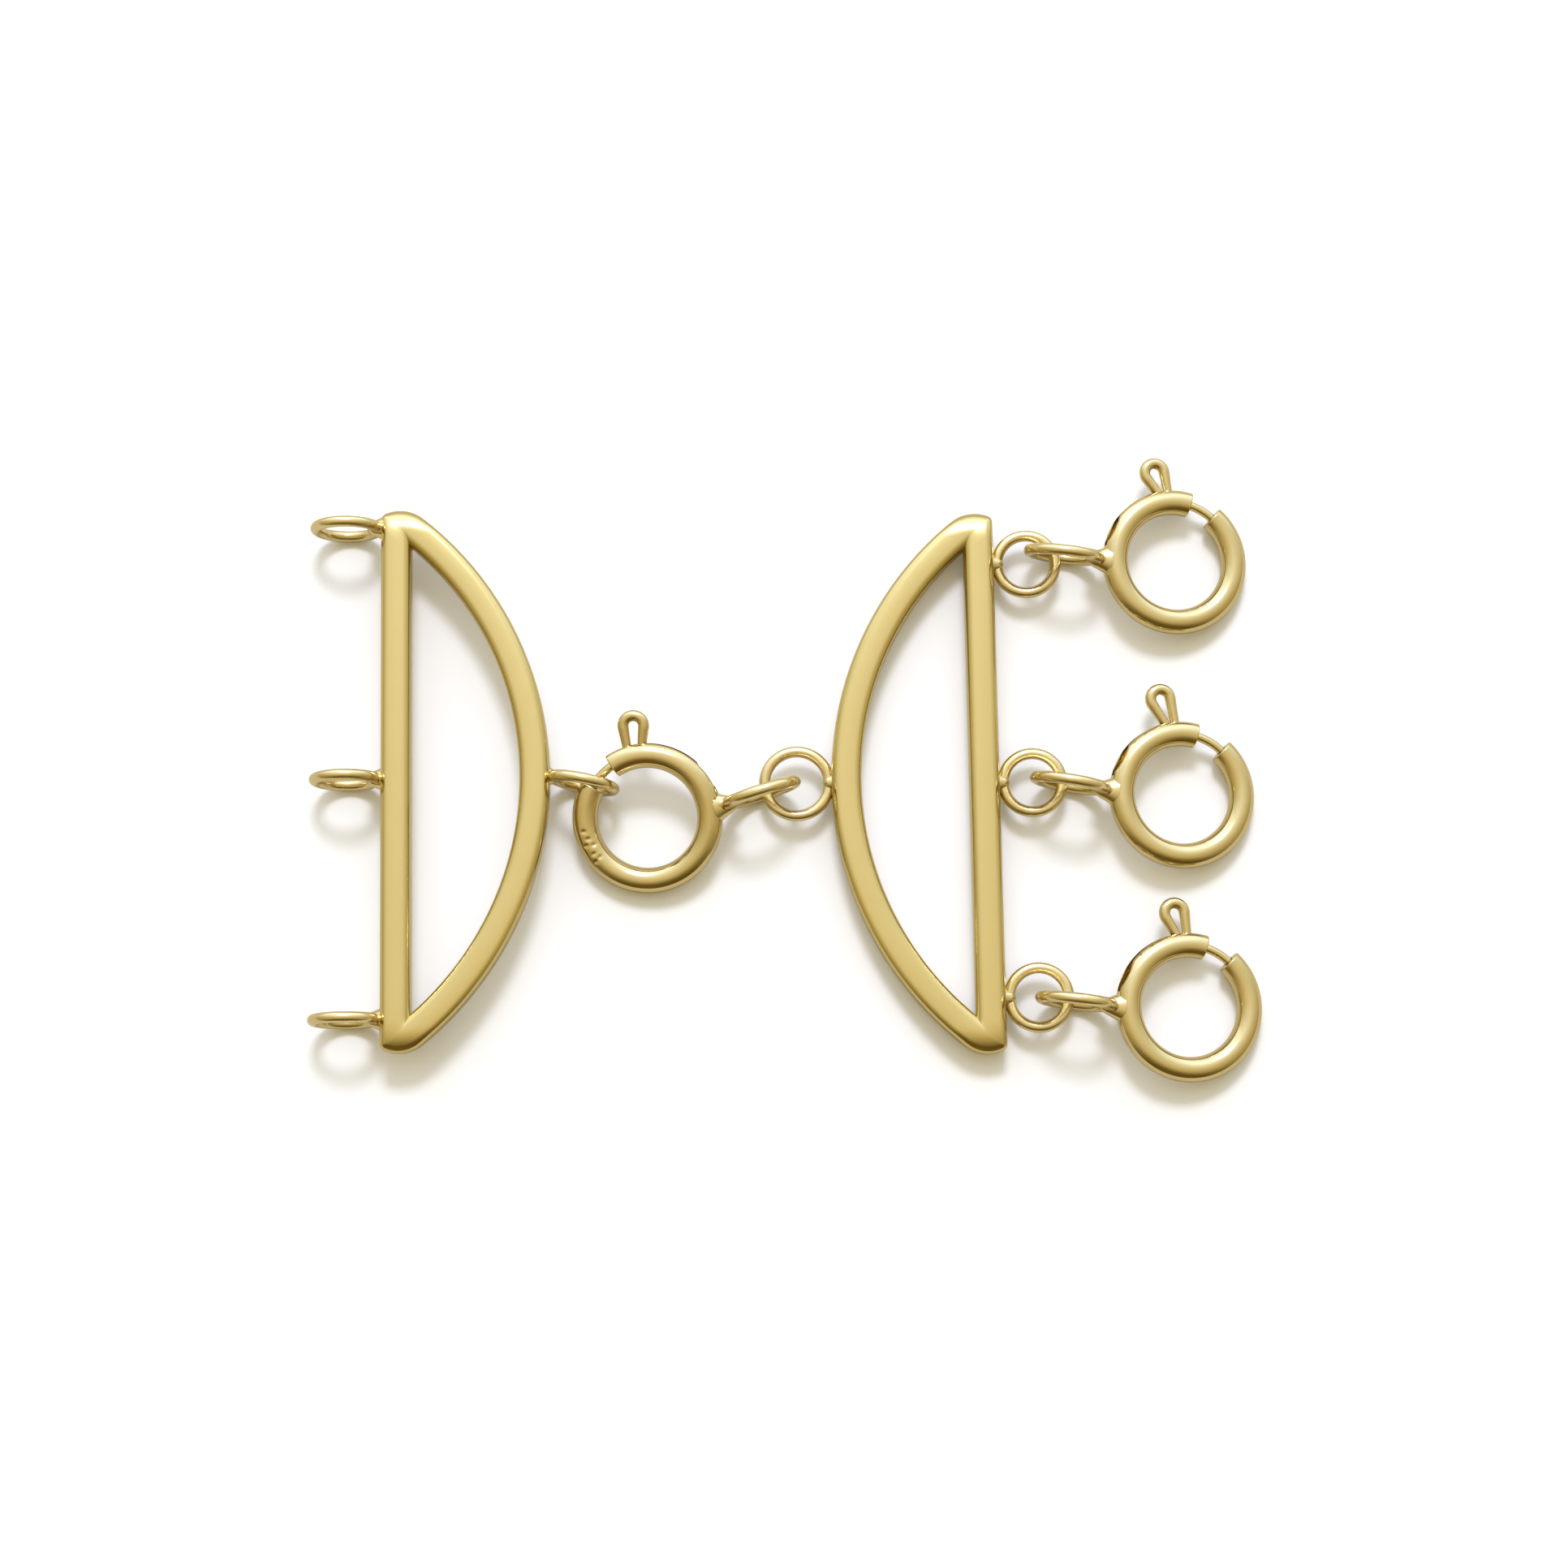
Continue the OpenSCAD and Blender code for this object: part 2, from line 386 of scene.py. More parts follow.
@dataclass
class WireRing:
    """A closed ring of round wire around its own Z axis."""

    outer_d: float
    wire_d: float
    around: int = 112
    section: int = 32

    def add_to(self, shape: Shape, place: Matrix) -> None:
        """Adds the ring to a shape.

        Args:
            shape: The shape that gets it.
            place: Where the ring lies in that shape.
        """
        middle = (self.outer_d - self.wire_d) / 2
        rings = []
        for at in range(self.around):
            spin = Matrix.Rotation(2 * math.pi * at / self.around, 4, "Z")
            rings.append([place @ spin @ Vector((middle + x, 0.0, z))
                          for x, z in circle(self.wire_d / 2, self.section)])
        shape.tube(rings, closed=True)


@dataclass(frozen=True)
class SolderBead:
    """Solder that flows from a face at x = 0 up to a ring's wire, and ends rounded inside it.

    The bead is wider than it is high by its spread. Its end is rounded from round_from, as a
    share of its length, and round_over is the share of the length that a full rounding takes.
    """

    base_r: float
    tip_r: float
    sunk: float
    reach: float
    spread: float = 1.0
    section: int = 32
    lengthwise: int = 14
    flow: float = 1.6
    round_from: float = 0.6
    round_over: float = 0.41

    def add_to(self, shape: Shape, place: Matrix) -> None:
        """Adds the bead to a shape.

        Args:
            shape: The shape that gets it.
            place: Where the face lies in that shape.
        """
        rings = []
        for along in steps(0.0, 1.0, self.lengthwise):
            radius = self.tip_r + (self.base_r - self.tip_r) * (1 - along) ** self.flow
            radius *= math.sqrt(1 - max(0.0, (along - self.round_from) / self.round_over) ** 2)
            out = along * (self.sunk + self.reach) - self.sunk
            wide = self.spread + (1 - self.spread) * along
            rings.append([place @ Vector((out, y * wide, z)) for y, z in circle(radius, self.section)])
        shape.tube(rings)


EYE_SOLDER = SolderBead(base_r=0.42, tip_r=0.27, sunk=0.1, reach=0.42)
BAR_EYE_SOLDER = SolderBead(base_r=0.48, tip_r=0.27, sunk=0.1, reach=0.62, spread=1.1)
END_RING_SOLDER = SolderBead(base_r=0.5, tip_r=0.27, sunk=0.3, reach=0.72, spread=1.4)


@dataclass
class Eye:
    """A soldered eye on a face at x = 0, standing at an angle in degrees to the surface."""

    outer_d: float
    stand: float
    wire_d: float = 0.46
    solder_in: float = 0.07
    bead: SolderBead = EYE_SOLDER

    def build(self, name: str, place: Matrix) -> bpy.types.Object:
        """Makes the eye with its solder.

        Args:
            name: The piece's name.
            place: Where the face lies.

        Returns:
            The dressed piece.
        """
        shape = Shape()
        seat = Matrix.Translation((self.outer_d / 2 - self.solder_in, 0.0, 0.0)) @ turn(self.stand, "X")
        WireRing(self.outer_d, self.wire_d).add_to(shape, seat)
        self.bead.add_to(shape, Matrix.Identity(4))
        return dress(shape.piece(name, place), WORKED_HIGHLIT_GOLD, Body.CLASP)


@dataclass
class FrameWire:
    """The D-shaped frame's wire: outside of the bar at x = 0, arc bulging to +X, level with z = 0.

    Its flats are crowned a little, and both tips are polished thinner from tip_start on.
    """

    height: float = 22.7
    width: float = 6.96
    shoulder_r: float = 1.5
    shoulder_x: float = 0.75
    wire_w: float = 1.24
    wire_h: float = 1.2
    rounding: float = 0.3
    crown: float = 0.05
    tip_start: float = 10.35
    tip_drop: float = 0.5
    round_steps: int = 10
    flat_steps: int = 8
    bar_steps: int = 60
    corner_steps: int = 12
    shoulder_steps: int = 16
    arc_steps: int = 150

    @property
    def shoulder_y(self) -> float:
        """Height of the shoulders' middles above the frame's middle."""
        return self.height / 2 - self.shoulder_r

    @property
    def arc_x(self) -> float:
        """Middle of the arc that meets both shoulders smoothly."""
        top = self.width - self.shoulder_r
        return (top ** 2 - self.shoulder_x ** 2 - self.shoulder_y ** 2) / (2 * (top - self.shoulder_x))

    def section(self) -> list[tuple[float, float, float]]:
        """Gives the wire's rounded section, with its upper and lower faces a little crowned.

        Returns:
            Depth in from the outline, height, and how much the point belongs to a rounded edge.
        """
        half_w, half_h = self.wire_w / 2, self.wire_h / 2
        points = []
        for quarter, (side, up) in enumerate(((1, 1), (-1, 1), (-1, -1), (1, -1))):
            for at, bend in enumerate(steps(90.0 * quarter, 90.0 * quarter + 90.0, self.round_steps)):
                slant = math.radians(bend)
                points.append((half_w + side * (half_w - self.rounding) + self.rounding * math.cos(slant),
                               up * (half_h - self.rounding) + self.rounding * math.sin(slant),
                               0.0 if at in (0, self.round_steps) else 1.0))
            points.extend(self._flat(points[-1], quarter))
        return [(depth, height * self._crown_at(depth), mark) for depth, height, mark in points]

    def _crown_at(self, depth: float) -> float:
        """Gives how much higher the crowned wire is than a flat one, as a factor.

        Args:
            depth: Depth in from the outline.

        Returns:
            The factor, which is 1 where the rounded edges start.
        """
        across = 2 * depth / self.wire_w - 1
        flat = 1 - 2 * self.rounding / self.wire_w
        return 1 + self.crown * (flat ** 2 - across ** 2) / (self.wire_h / 2)

    def _tip_at(self, along: float) -> float:
        """Gives how much thinner the polished tips are than the rest of the wire, as a factor.

        Args:
            along: Place along the bar, from the frame's middle.

        Returns:
            The factor, which falls towards the very end of each tip.
        """
        past = max(0.0, abs(along) - self.tip_start) / (self.height / 2 - self.tip_start)
        return 1 - self.tip_drop * past ** 2

    def _flat(self, last: tuple[float, float, float], quarter: int) -> list[tuple[float, float, float]]:
        """Gives the points on the face that follows a rounded edge.

        Args:
            last: The last point of the rounded edge.
            quarter: Which rounded edge it is, counted from the upper inner one.

        Returns:
            The face's points.
        """
        length = (self.wire_w if quarter in (0, 2) else self.wire_h) - 2 * self.rounding
        way = ((-1, 0), (0, -1), (1, 0), (0, 1))[quarter]
        return [(last[0] + way[0] * length * part, last[1] + way[1] * length * part, 0.0)
                for part in steps(0.0, 1.0, self.flat_steps)[1:-1]]

    def outline(self, depth: float) -> list[Vector]:
        """Gives the line that runs around the frame at a depth in from its outline.

        Args:
            depth: The depth.

        Returns:
            Points up the bar, around the corner and the shoulder, down the arc and back around the others.
            Past the corner's own radius its points fall together, and so do the shoulder's further in.
        """
        arc_r, shoulder_r = self.width - self.arc_x - depth, self.shoulder_r - depth
        corner_r, corner_x = max(self.rounding - depth, 0.0), max(self.rounding, depth)
        arc_end = math.atan2(self.shoulder_y, self.shoulder_x - self.arc_x)
        lean = (corner_x - self.shoulder_x) / (self.shoulder_r - corner_x)
        upper = [Vector((depth, 0.0, 0.0))]
        if lean < math.cos(arc_end):
            corner_end = math.acos(lean)
            corner_y = self.shoulder_y + (self.shoulder_r - corner_x) * math.sin(corner_end)
            upper += self._bend(corner_x, corner_y, corner_r, steps(math.pi, corner_end, self.corner_steps))
            upper += self._bend(self.shoulder_x, self.shoulder_y, shoulder_r,
                                steps(corner_end, arc_end, self.shoulder_steps)[1:])
        else:
            arc_end = math.acos((depth - self.arc_x) / arc_r)
            meeting = Vector((depth, arc_r * math.sin(arc_end), 0.0))
            upper += [meeting.copy() for _ in range(self.corner_steps + self.shoulder_steps + 1)]
        upper += self._bend(self.arc_x, 0.0, arc_r, steps(arc_end, 0.0, self.arc_steps // 2)[1:])
        bar = [Vector((depth, upper[1].y * part, 0.0)) for part in steps(0.0, 1.0, self.bar_steps // 2)]
        upper = bar[:-1] + upper[1:]
        return upper + [Vector((point.x, -point.y, 0.0)) for point in upper[-2:0:-1]]

    @staticmethod
    def _bend(middle_x: float, middle_y: float, radius: float, slants: list[float]) -> list[Vector]:
        """Gives points on an arc around a middle.

        Args:
            middle_x: Place of the middle.
            middle_y: Place of the middle.
            radius: The arc's radius.
            slants: The points' angles, in radians.

        Returns:
            The points.
        """
        return [Vector((middle_x + radius * math.cos(slant), middle_y + radius * math.sin(slant), 0.0))
                for slant in slants]

    def build(self, name: str, place: Matrix, node: str) -> bpy.types.Object:
        """Makes the wire.

        Args:
            name: The piece's name.
            place: Where the frame lies.
            node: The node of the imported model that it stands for.

        Returns:
            The dressed piece.
        """
        shape = Shape()
        loops = []
        for depth, up, mark in self.section():
            line = [Vector((point.x, point.y, up * self._tip_at(point.y))) for point in self.outline(depth)]
            loops.append(shape.loop(line, [mark] * len(line)))
        for one, other in zip(loops, loops[1:] + loops[:1]):
            shape.bridge(one, other)
        return dress(shape.piece(name, place), SATIN_GOLD, Body.CLASP, node)


@dataclass
class LeftFrame:
    """The left frame, its three upright eyes on the bar and the upright eye on its arc."""

    place: tuple[float, float, float] = (-16.63, -0.06, 1.53)
    frame_turn: float = 1.0
    eye_places: tuple[tuple[str, float], ...] = (("top", 10.65), ("middle", 0.0), ("bottom", -9.95))
    eye_d: float = 3.06
    eye_lean: float = 0.5
    arc_eye_d: float = 3.06
    arc_eye_x: float = 6.9
    arc_eye_turn: float = -12.0
    wire: FrameWire = field(default_factory=FrameWire)

    def build(self) -> None:
        """Makes the frame's pieces."""
        lie = Matrix.Translation(LAYOUT_SHIFT + Vector(self.place)) @ turn(self.frame_turn, "Z")
        self.wire.build("left_frame_wire", lie, "left_frame")
        for name, along in self.eye_places:
            seat = lie @ Matrix.Translation((0.0, along, 0.0)) @ turn(180.0, "Z")
            Eye(self.eye_d, UPRIGHT + self.eye_lean, bead=BAR_EYE_SOLDER).build(f"left_bar_eye_{name}", seat)
        seat = lie @ Matrix.Translation((self.arc_eye_x, 0.0, 0.0)) @ turn(self.arc_eye_turn, "Z")
        Eye(self.arc_eye_d, UPRIGHT).build("left_arc_eye", seat)


@dataclass
class RightFrame:
    """The right frame, its three flat eyes on the bar and the flat eye on its arc."""

    place: tuple[float, float, float] = (8.93, 0.0, 0.92)
    frame_turn: float = 1.0
    eye_places: tuple[tuple[str, float], ...] = (("top", 9.17), ("middle", -0.12), ("bottom", -9.06))
    eye_d: float = 2.9
    arc_eye_d: float = 3.14
    arc_eye_x: float = 6.9
    wire: FrameWire = field(default_factory=FrameWire)

    def build(self) -> None:
        """Makes the frame's pieces."""
        lie = Matrix.Translation(LAYOUT_SHIFT + Vector(self.place)) @ turn(self.frame_turn, "Z")
        self.wire.build("right_frame_wire", lie @ Matrix.Scale(-1.0, 4, (1.0, 0.0, 0.0)), "right_frame")
        for name, along in self.eye_places:
            seat = lie @ Matrix.Translation((0.0, along, 0.0))
            Eye(self.eye_d, FLAT).build(f"right_bar_eye_{name}", seat)
        seat = lie @ Matrix.Translation((-self.arc_eye_x, 0.0, 0.0)) @ turn(180.0, "Z")
        Eye(self.arc_eye_d, FLAT).build("right_arc_eye", seat)


@dataclass(frozen=True)
class Trigger:
    """The trigger loop of a latch.

    It stands at an angle along the tube and reaches a height above it. Its two legs have slopes
    of their own: one on the side of the gap, and the back one.
    """

    angle: float
    height: float
    back_slope: float
    gap_slope: float = 2.0
    width: float = 1.3
    wire_d: float = 0.46
    foot_d: float = 0.32
    leg_steps: int = 12
    loop_steps: int = 56
    section: int = 28

    def add_to(self, shape: Shape, latch_r: float, outer_r: float) -> None:
        """Adds the loop, whose legs come out of the latch and run smoothly into it.

        Args:
            shape: The latch's shape.
            latch_r: Radius of the latch's middle line.
            outer_r: Outer radius of the bolt ring.
        """
        loop_r = (self.width - self.wire_d) / 2
        loop_x = outer_r + self.height - self.width / 2
        line = self._leg(-1, self.back_slope, latch_r, loop_x)
        for bend in steps(-math.pi / 2 - math.radians(self.back_slope),
                          math.pi / 2 + math.radians(self.gap_slope), self.loop_steps)[1:-1]:
            point = Vector((loop_x + loop_r * math.cos(bend), loop_r * math.sin(bend), 0.0))
            line.append((point, bend + math.pi / 2, self.wire_d / 2))
        line += [(point, math.pi + heading, size)
                 for point, heading, size in self._leg(1, self.gap_slope, latch_r, loop_x)[::-1]]
        stand = turn(self.angle, "Z")
        rings = []
        for point, heading, size in line:
            across = Vector((-math.sin(heading), math.cos(heading), 0.0))
            rings.append([stand @ (point + across * out + Vector((0.0, 0.0, up)))
                          for out, up in circle(size, self.section)])
        shape.tube(rings)

    def _leg(self, side: int, slope: float, latch_r: float,
             loop_x: float) -> list[tuple[Vector, float, float]]:
        """Gives the middle line of one leg, from the latch to the loop.

        Args:
            side: 1 for the leg on the side of the gap, -1 for the back one.
            slope: The leg's slope, in degrees.
            latch_r: Radius of the latch's middle line.
            loop_x: Distance of the loop's middle from the ring's middle.

        Returns:
            Each point, the line's heading there in radians, and the wire's radius.
        """
        loop_r = (self.width - self.wire_d) / 2
        lean = math.radians(slope)
        run = loop_x - latch_r - loop_r * math.sin(lean)
        foot = Vector((latch_r, side * (loop_r * math.cos(lean) - run * math.tan(lean)), 0.0))
        knee = Vector((loop_x - loop_r * math.sin(lean), side * loop_r * math.cos(lean), 0.0))
        foot_r, knee_r = self.foot_d / 2, self.wire_d / 2
        return [(foot.lerp(knee, part), side * lean, foot_r + (knee_r - foot_r) * part)
                for part in steps(0.0, 1.0, self.leg_steps)]


@dataclass(frozen=True)
class EndRing:
    """The upright end ring of a bolt ring, soldered to the outside of the tube.

    It is soldered a little to the side of the tube's middle, with a turn and a lean of its own.
    """

    side: float
    facing: float
    lean: float
    outer_d: float = 3.44
    wire_d: float = 0.48
    solder_in: float = 0.07
    bead: SolderBead = END_RING_SOLDER

    def build(self, name: str, place: Matrix, outer_r: float) -> bpy.types.Object:
        """Makes the end ring with its solder.

        Args:
            name: The piece's name.
            place: Where the bolt ring lies.
            outer_r: Outer radius of the bolt ring.

        Returns:
            The dressed piece.
        """
        shape = Shape()
        seat = Matrix.Translation((outer_r - self.solder_in, self.side, 0.0))
        lie = seat @ turn(self.facing, "Z") @ turn(self.lean, "X")
        lie = lie @ Matrix.Translation((self.outer_d / 2, 0.0, 0.0)) @ turn(UPRIGHT, "X")
        WireRing(self.outer_d, self.wire_d).add_to(shape, lie)
        self.bead.add_to(shape, seat @ Matrix.Translation((self.solder_in, 0.0, 0.0)))
        return dress(shape.piece(name, place), WORKED_HIGHLIT_GOLD, Body.CLASP)


@dataclass
class BoltRing:
    """A bolt ring: tube with gap, bore and slot, soldered end ring, and latch with its trigger.

    It lies in its own XY plane with the end ring to +X, and angles are counted from there, in
    degrees. A dent has an angle, and a place outward from the tube's middle line. The share of a
    latch's rounded ends that is left flat, tip_flat, is in radians.
    """

    name: str
    body: Body
    centre: Vector
    facing: float
    rise: float
    droop: float
    flipped: bool
    gap: tuple[float, float]
    trigger: Trigger
    end_ring: EndRing
    scale: float = 1.0
    dents: tuple[tuple[float, float], ...] = ()
    outer_d: float = 6.16
    tube_d: float = 1.04
    bore_d: float = 0.46
    slot_h: float = 0.44
    slot_end: float = 8.0
    pocket: float = 7.0
    notch_at: float = 23.0
    notch_cut: float = 0.19
    notch_r: float = 2.8
    end_round: float = 0.05
    end_steps: int = 5
    dent_depth: float = 0.04
    dent_width: float = 0.08
    dent_length: float = 0.1
    dent_reach: float = 2.5
    dent_zone: float = 5.5
    fine_step: float = 0.5
    coarse_step: float = 1.5
    slot_clear: float = 0.4
    end_clear: float = 0.6
    end_near: float = 1.0
    latch_d: float = 0.36
    latch_in: float = 4.0
    latch_tail: float = 12.0
    latch_steps: int = 48
    latch_section: int = 28
    tip_steps: int = 6
    tip_flat: float = 0.1
    skin_points: int = 72
    slot_points: int = 8

    @property
    def ring_r(self) -> float:
        """Radius of the tube's middle line."""
        return (self.outer_d - self.tube_d) / 2

    @property
    def place(self) -> Matrix:
        """Where the ring lies."""
        face = self.droop + (180.0 if self.flipped else 0.0)
        lie = turn(self.facing, "Z") @ turn(-self.rise, "Y") @ turn(face, "X")
        return Matrix.Translation(LAYOUT_SHIFT + self.centre) @ lie @ Matrix.Scale(self.scale, 4)

    def at(self, angle: float, out: float, up: float) -> Vector:
        """Gives a point of the tube.

        Args:
            angle: Angle along the tube, in degrees.
            out: Distance outward from the tube's middle line.
            up: Distance above it.

        Returns:
            The point.
        """
        around = math.radians(angle)
        return Vector(((self.ring_r + out) * math.cos(around), (self.ring_r + out) * math.sin(around), up))

    def _skin_point(self, angle: float, radius: float, slant: float) -> Vector:
        """Gives a point of the tube's outer skin, with the notch cut and the dents punched.

        Args:
            angle: Angle along the tube, in degrees.
            radius: Radius of the tube there.
            slant: Angle around the tube, counted from its outer side, in radians.

        Returns:
            The point.
        """
        out, up = radius * math.cos(slant), radius * math.sin(slant)
        turned = math.radians((angle - self.notch_at + 180.0) % 360.0 - 180.0)
        notch_x = self.outer_d / 2 - self.notch_cut + self.notch_r
        inside = self.notch_r ** 2 - (notch_x * math.sin(turned)) ** 2
        if up < 0 and inside > 0 and math.cos(turned) > 0:
            out = min(out, notch_x * math.cos(turned) - math.sqrt(inside) - self.ring_r)
        for dent, aside in self.dents:
            along = (self.ring_r + out) * math.radians(angle % 360.0 - dent) / self.dent_width
            across = (out - aside) / self.dent_length
            if up > 0 and max(abs(along), abs(across)) < self.dent_reach:
                up -= self.dent_depth * math.exp(-along ** 2 - across ** 2)
        return self.at(angle, out, up)

    def _slants(self, radius: float) -> tuple[list[float], list[float]]:
        """Gives the angles of the points around the tube.

        Args:
            radius: Radius of the tube there.

        Returns:
            The angles from one lip of the slot around to the other, and those between the lips.
        """
        lip = math.asin(self.slot_h / 2 / radius)
        return (steps(lip, 2 * math.pi - lip, self.skin_points),
                steps(-lip, lip, self.slot_points)[1:-1])

    def _skin(self, angle: float, radius: float, covered: bool) -> list[Vector]:
        """Gives the outer skin's points from one lip of the slot around to the other.

        Args:
            angle: Angle along the tube, in degrees.
            radius: Radius of the tube there.
            covered: Whether the points between the lips follow, where there is no slot.

        Returns:
            The points.
        """
        skin, between = self._slants(radius)
        return [self._skin_point(angle, radius, slant) for slant in skin + (between if covered else [])]

    def _bore(self, angle: float, slants: list[float]) -> list[Vector]:
        """Gives points of the bore.

        Args:
            angle: Angle along the tube, in degrees.
            slants: The points' angles around the tube, in radians.

        Returns:
            The points.
        """
        bore_r = self.bore_d / 2
        return [self.at(angle, bore_r * math.cos(slant), bore_r * math.sin(slant)) for slant in slants]

    def _stations(self) -> list[float]:
        """Gives the angles of the tube's sections, closer together where there are dents.

        Returns:
            The angles, from one side of the gap to the other.
        """
        start, end = self.gap[1], 360.0 + self.gap[0]
        angles = [start]
        while angles[-1] < end - self.end_near:
            near = any(abs(angles[-1] + self.fine_step - dent) < self.dent_zone for dent, _ in self.dents)
            angles.append(angles[-1] + (self.fine_step if near else self.coarse_step))
        slot = 360.0 + self.slot_end
        angles = [angle for angle in angles if abs(angle - slot) > self.slot_clear] + [slot]
        return sorted(angle for angle in angles if angle < end - self.end_clear) + [end]

    def _rounded_end(self, end: float, toward: int) -> list[tuple[float, float]]:
        """Gives the sections that round the tube's end face.

        Args:
            end: Angle of the end face.
            toward: 1 where the tube ends with growing angle, -1 where it starts.

        Returns:
            Angle and radius of each section, in order towards the end face.
        """
        made = []
        for slant in steps(0.0, math.pi / 2, self.end_steps):
            back = math.degrees(self.end_round * (1 - math.sin(slant)) / self.ring_r)
            made.append((end - toward * back, self.tube_d / 2 - self.end_round * (1 - math.cos(slant))))
        return made

    def _housing(self) -> Shape:
        """Makes the tube, open along its slot and hollow where the latch runs.

        Returns:
            The shape.
        """
        shape = Shape()
        angles = self._stations()
        slot = 360.0 + self.slot_end
        closed_part = self._rounded_end(angles[0], -1)[::-1]
        closed_part += [(angle, self.tube_d / 2) for angle in angles[1:] if angle <= slot]
        open_part = [(angle, self.tube_d / 2) for angle in angles[:-1] if angle > slot]
        open_part += self._rounded_end(angles[-1], 1)
        loops = [shape.loop(self._skin(*spot, covered=True)) for spot in closed_part]
        for one, other in zip(loops, loops[1:]):
            shape.bridge(one, other)
        self._add_pocket(shape, loops[0], angles[0])
        self._add_open_part(shape, loops[-1], slot, open_part)
        return shape

    def _add_pocket(self, shape: Shape, rim: list[int], start: float) -> None:
        """Adds the tube's first end face, and the pocket in it that the latch's tip runs into.

        Args:
            shape: The tube's shape.
            rim: The rim of the end face.
            start: Angle of the end face.
        """
        skin, between = self._slants(self.tube_d / 2 - self.end_round)
        for depth in (0.0, self.pocket):
            inner = shape.loop(self._bore(start + depth, skin + between))
            shape.bridge(rim, inner)
            rim = inner
        shape.cap(rim)

    def _add_open_part(self, shape: Shape, last: list[int], slot: float,
                       spots: list[tuple[float, float]]) -> None:
        """Adds the part of the tube that has the slot and the bore, up to the second end face.

        Args:
            shape: The tube's shape.
            last: The last loop of the closed part.
            slot: Angle where the slot starts.
            spots: Angle and radius of each further section.
        """
        lip = math.asin(self.slot_h / self.bore_d)
        slants = steps(lip, 2 * math.pi - lip, self.skin_points)
        outer = last[:self.skin_points + 1]
        inner = shape.loop(self._bore(slot, slants))
        shape.faces.append(tuple(last[self.skin_points:] + [last[0]] + inner))
        for angle, radius in spots:
            next_outer = shape.loop(self._skin(angle, radius, covered=False))
            next_inner = shape.loop(self._bore(angle, slants))
            shape.bridge(outer, next_outer, closed=False)
            shape.bridge(inner, next_inner, closed=False)
            shape.faces.append((outer[0], next_outer[0], next_inner[0], inner[0]))
            shape.faces.append((outer[-1], inner[-1], next_inner[-1], next_outer[-1]))
            outer, inner = next_outer, next_inner
        shape.bridge(outer, inner, closed=False)

    def _latch(self) -> Shape:
        """Makes the latch's wire with its rounded ends, and its trigger.

        Returns:
            The shape.
        """
        shape = Shape()
        radius = self.latch_d / 2
        start, end = self.trigger.angle - self.latch_tail, self.gap[1] + self.latch_in
        tip = math.degrees(radius / self.ring_r)
        spots = []
        for slant in steps(-math.pi / 2 + self.tip_flat, 0.0, self.tip_steps):
            spots.append((start + tip * (1 + math.sin(slant)), radius * math.cos(slant)))
        spots += [(angle, radius) for angle in steps(start + tip, end - tip, self.latch_steps)[1:-1]]
        for slant in steps(0.0, math.pi / 2 - self.tip_flat, self.tip_steps):
            spots.append((end - tip * (1 - math.sin(slant)), radius * math.cos(slant)))
        shape.tube([[self.at(angle, out, up) for out, up in circle(size, self.latch_section)]
                    for angle, size in spots])
        self.trigger.add_to(shape, self.ring_r, self.outer_d / 2)
        return shape

    def build(self) -> None:
        """Makes the ring's pieces."""
        ring, latch = f"bolt_ring_{self.name}", f"latch_{self.name}"
        dress(self._housing().piece(f"{ring}_tube", self.place), POLISHED_GOLD, Body.CLASP, ring)
        self.end_ring.build(f"{ring}_end_ring", self.place, self.outer_d / 2)
        dress(self._latch().piece(f"{latch}_wire", self.place), POLISHED_GOLD, self.body, latch)


def centre_ring() -> BoltRing:
    """Describes the bolt ring that joins the frames.

    Returns:
        The ring, with plain dents punched into its tube.
    """
    return BoltRing(
        "centre", Body.LATCH_CENTRE, Vector((-5.64, -1.62, 1.2)), facing=12.5, rise=6.7, droop=12.3,
        flipped=False, gap=(110.5, 136.5), trigger=Trigger(85.0, height=1.36, back_slope=14.0),
        end_ring=EndRing(side=-0.24, facing=5.0, lean=-7.0), scale=1.014,
        dents=((178.5, 0.06), (186.0, -0.04), (191.0, 0.14), (193.0, -0.16), (200.5, 0.02),
               (206.0, -0.1), (207.0, 0.15)))


def resting_ring(name: str, body: Body, x: float, y: float, facing: float, gap: tuple[float, float],
                 trigger: Trigger, end_ring: EndRing) -> BoltRing:
    """Describes a bolt ring that leans on its end ring at one side and on its tube at the other.

    Args:
        name: The ring's name.
        body: The body of its latch.
        x: Place of its centre.
        y: Place of its centre.
        facing: Direction of its end ring.
        gap: Angles where its gap starts and ends.
        trigger: Its trigger.
        end_ring: Its end ring.

    Returns:
        The ring.
    """
    ring = BoltRing(name, body, Vector((x, y, 0.0)), facing, rise=0.0, droop=0.0, flipped=True,
                    gap=gap, trigger=trigger, end_ring=end_ring)
    tube_r = ring.tube_d / 2
    end_x = ring.outer_d / 2 + end_ring.outer_d / 2 - end_ring.solder_in
    ring.rise = math.degrees(math.asin((end_ring.outer_d / 2 - tube_r) / (ring.ring_r + end_x)))
    ring.centre.z = tube_r + ring.ring_r * math.sin(math.radians(ring.rise))
    return ring


# Brightness of the room, from low in front of the clasp over its top to low behind it
NORTH_TONES = ((-1.0, (0.14, 0.10, 0.025)), (-0.87, (0.13, 0.09, 0.02)), (-0.7, (0.24, 0.19, 0.08)),
               (-0.5, (0.47, 0.40, 0.24)), (-0.27, (0.67, 0.58, 0.38)), (-0.04, (0.77, 0.71, 0.55)),
               (0.17, (0.88, 0.86, 0.80)), (0.42, (1.02, 1.06, 1.12)), (0.62, (1.25, 1.38, 1.7)),
               (0.88, (1.42, 1.6, 2.1)), (1.0, (1.0, 1.1, 1.3)))

